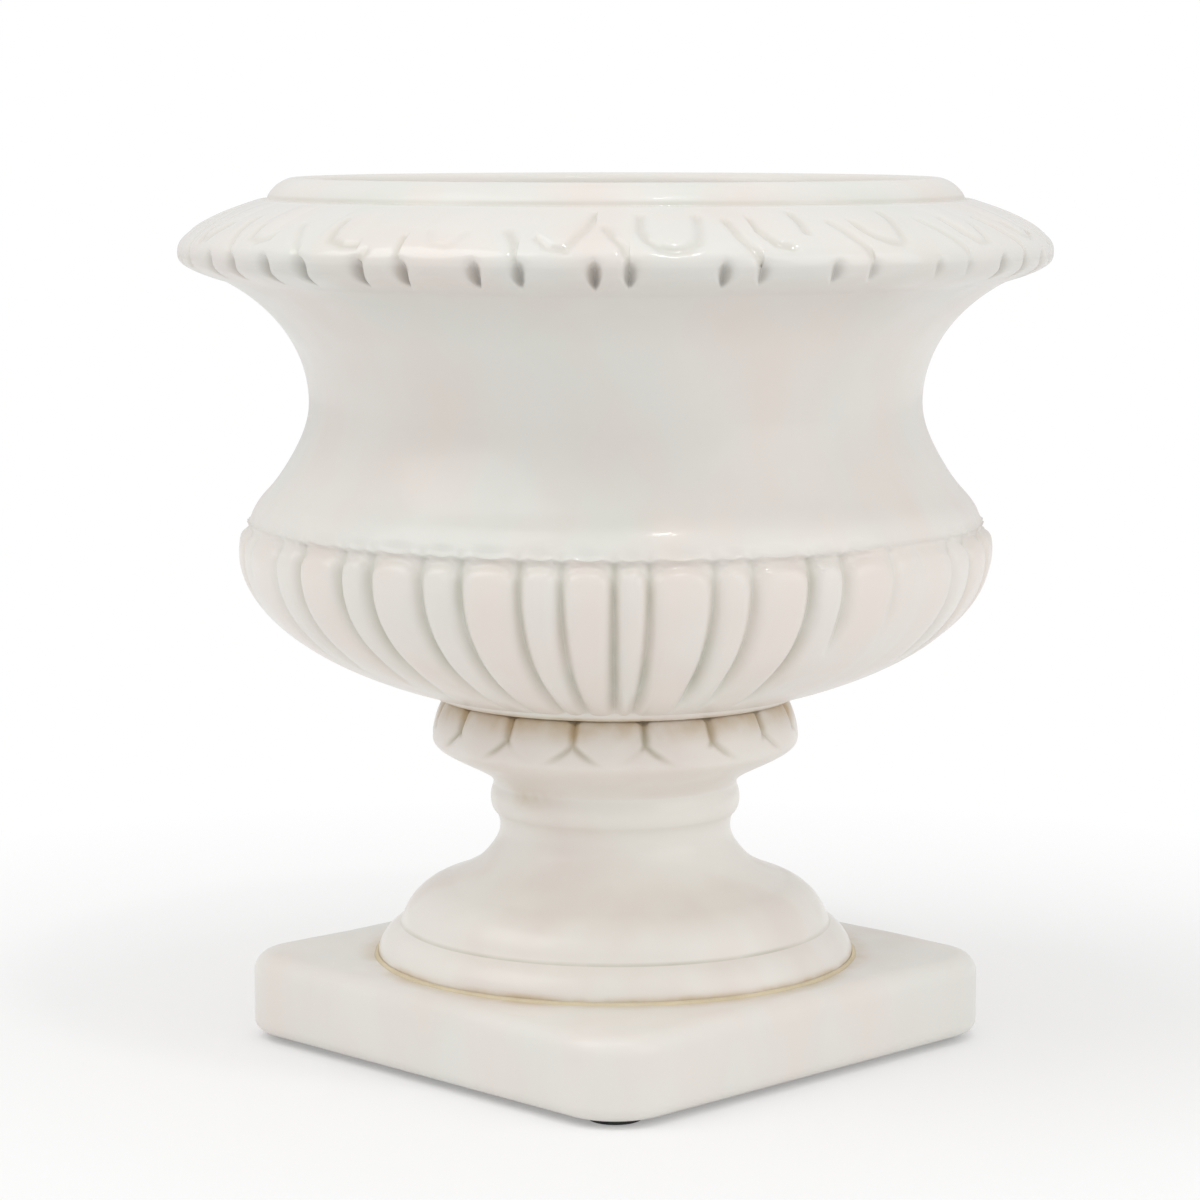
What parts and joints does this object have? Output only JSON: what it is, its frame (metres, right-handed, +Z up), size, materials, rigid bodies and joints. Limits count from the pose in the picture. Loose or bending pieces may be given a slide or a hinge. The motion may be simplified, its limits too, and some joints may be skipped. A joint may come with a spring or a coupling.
{
  "type": "urn vase",
  "caption": "Footed urn vase with a gadrooned belly, bell neck and lobed everted rim, on a petalled knop, moulded foot and square plinth.",
  "frame": {"origin": "centre of the footprint, in the plane of the pads' undersides that the urn stands on", "axes": "+Z up along the urn's axis, X and Y along the sides of the square plinth; the corner turned to the viewer in the picture lies towards +X -Y"},
  "size_m": [0.4031, 0.4032, 0.4035],
  "materials": {
    "white_glaze": "warm white satin glaze, gone greenish brown where it pools in the crevices",
    "bedding": "matt tan jointing compound",
    "rubber": "matt black moulded rubber",
    "steel": "plain stainless steel, machined"
  },
  "bodies": {
    "root": {"plinth": "white_glaze", "pad_1": "rubber", "pad_2": "rubber", "pad_3": "rubber", "pad_4": "rubber", "foot_bed": "bedding", "pedestal": "white_glaze", "bowl_bed": "bedding", "bowl": "white_glaze", "tie_rod": "steel", "bowl_seal": "rubber", "upper_washer": "steel", "cap_nut": "steel", "lower_cushion": "rubber", "lower_washer": "steel", "lower_nut": "steel"}
  },
  "joints": []
}
